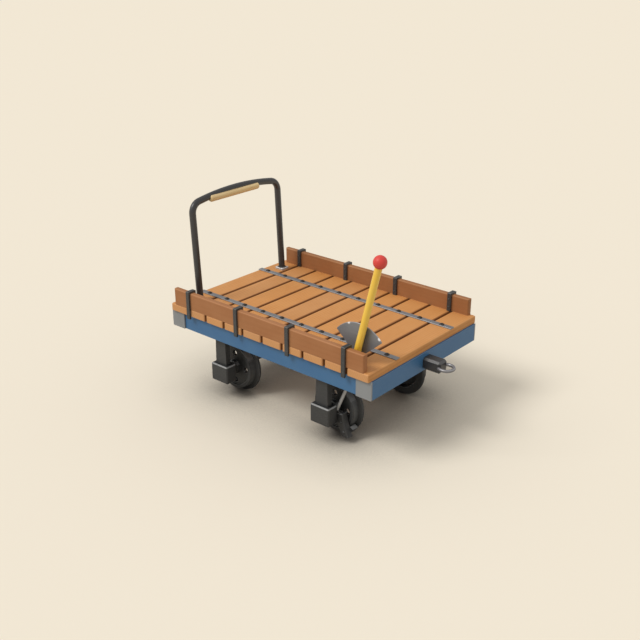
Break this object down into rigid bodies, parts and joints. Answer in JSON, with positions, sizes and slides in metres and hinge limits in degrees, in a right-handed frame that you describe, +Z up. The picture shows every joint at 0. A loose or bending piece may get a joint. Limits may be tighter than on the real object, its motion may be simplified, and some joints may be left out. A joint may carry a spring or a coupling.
{
  "type": "railway handcar",
  "caption": "Flat four-wheeled push car for light railway track, with a plank deck, low side boards, a push hoop, a drawbar eye and a hand lever that swings a brake shoe to a wheel.",
  "frame": {"origin": "middle of the overall box, on the floor plane that the wheel flanges stand on", "axes": "+X towards the drawbar, +Y to the left, +Z up"},
  "size_m": [1.6644, 1.022, 1.1602],
  "materials": {
    "deck_wood": "oiled softwood planks",
    "board_wood": "darker stained softwood",
    "grip_wood": "turned pale wood",
    "blue_paint": "satin blue paint on the underframe",
    "cap_steel": "light grey paint",
    "foot_steel": "bare pale steel of the foot plates",
    "dark_iron": "dark grey painted iron",
    "strap_steel": "worn flat steel",
    "rivet_iron": "black iron rivet heads",
    "handle_black": "black painted tube",
    "running_gear_iron": "grey cast iron",
    "wheel_iron": "dark cast iron, worn bright on the tread",
    "axle_steel": "turned steel",
    "yellow_paint": "yellow gloss paint",
    "knob_red": "red gloss ball",
    "quadrant_steel": "grey steel plate",
    "arm_steel": "light grey steel",
    "drawbar_iron": "black painted iron",
    "ring_steel": "worn forged steel"
  },
  "bodies": {
    "frame": {"axle_box_front_left": "running_gear_iron", "axle_box_front_right": "running_gear_iron", "axle_box_rear_left": "running_gear_iron", "axle_box_rear_right": "running_gear_iron", "axle_guard_front_left": "running_gear_iron", "axle_guard_front_right": "running_gear_iron", "axle_guard_rear_left": "running_gear_iron", "axle_guard_rear_right": "running_gear_iron", "beam_caps_front": "cap_steel", "beam_caps_rear": "cap_steel", "bearer_left": "blue_paint", "bearer_right": "blue_paint", "brake_quadrant": "quadrant_steel", "deck_strap_left": "strap_steel", "deck_strap_right": "strap_steel", "drawbar": "drawbar_iron", "drawbar_ring": "ring_steel", "handle_feet": "foot_steel", "handle_grip": "grip_wood", "headstock_front": "blue_paint", "headstock_rear": "blue_paint", "plank_01": "deck_wood", "plank_02": "deck_wood", "plank_03": "deck_wood", "plank_04": "deck_wood", "plank_05": "deck_wood", "plank_06": "deck_wood", "plank_07": "deck_wood", "plank_08": "deck_wood", "plank_09": "deck_wood", "plank_10": "deck_wood", "push_handle": "handle_black", "side_board_left": "board_wood", "side_board_right": "board_wood", "sill_left": "blue_paint", "sill_right": "blue_paint", "stanchions_left": "dark_iron", "stanchions_right": "dark_iron", "strap_rivets_left": "rivet_iron", "strap_rivets_right": "rivet_iron"},
    "front_wheelset": {"axle_front": "axle_steel", "wheel_front_left": "wheel_iron", "wheel_front_right": "wheel_iron"},
    "rear_wheelset": {"axle_rear": "axle_steel", "wheel_rear_left": "wheel_iron", "wheel_rear_right": "wheel_iron"},
    "brake_gear": {"brake_arm": "arm_steel", "brake_knob": "knob_red", "brake_lever": "yellow_paint", "brake_shoe": "running_gear_iron"}
  },
  "joints": [
    {"name": "front_axle_roll", "type": "hinge", "parent": "frame", "child": "front_wheelset", "pos_m": [0.2975, 0, 0.163], "axis": [0, 1, 0], "continuous": true},
    {"name": "rear_axle_roll", "type": "hinge", "parent": "frame", "child": "rear_wheelset", "pos_m": [-0.4725, 0, 0.163], "axis": [0, 1, 0], "continuous": true},
    {"name": "brake_lever_swing", "type": "hinge", "parent": "frame", "child": "brake_gear", "pos_m": [0.5075, -0.43, 0.551], "axis": [0, 1, 0], "range_deg": [-25, 0]}
  ]
}
